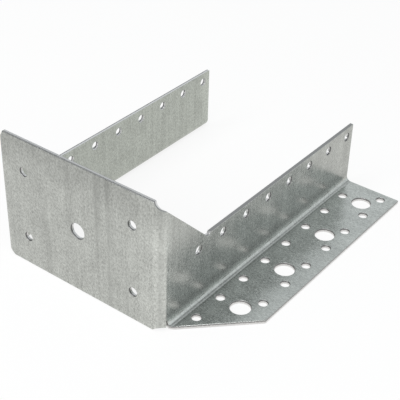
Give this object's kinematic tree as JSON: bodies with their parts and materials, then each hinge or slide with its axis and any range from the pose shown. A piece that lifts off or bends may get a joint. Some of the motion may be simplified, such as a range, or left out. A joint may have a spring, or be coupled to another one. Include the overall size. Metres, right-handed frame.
{
  "type": "joist hanger",
  "caption": "Face-fix joist hanger with outward flanges, folded from galvanised steel sheet: the seat and side plates form a pocket that carries the end of a timber joist.",
  "frame": {"origin": "in the header face, under the middle of the hanger's bounding box", "axes": "+X across the joist, +Y up the header from the seat to the open end, +Z out of the header along the joist; the hanger lies on the backs of its flanges"},
  "size_m": [0.177, 0.1756, 0.0765],
  "materials": {
    "galvanised_sheet": "pre-galvanised steel sheet, dull and lightly mottled, with brighter sheared edges"
  },
  "bodies": {
    "root": {"hanger_sheet": "galvanised_sheet"}
  },
  "joints": []
}
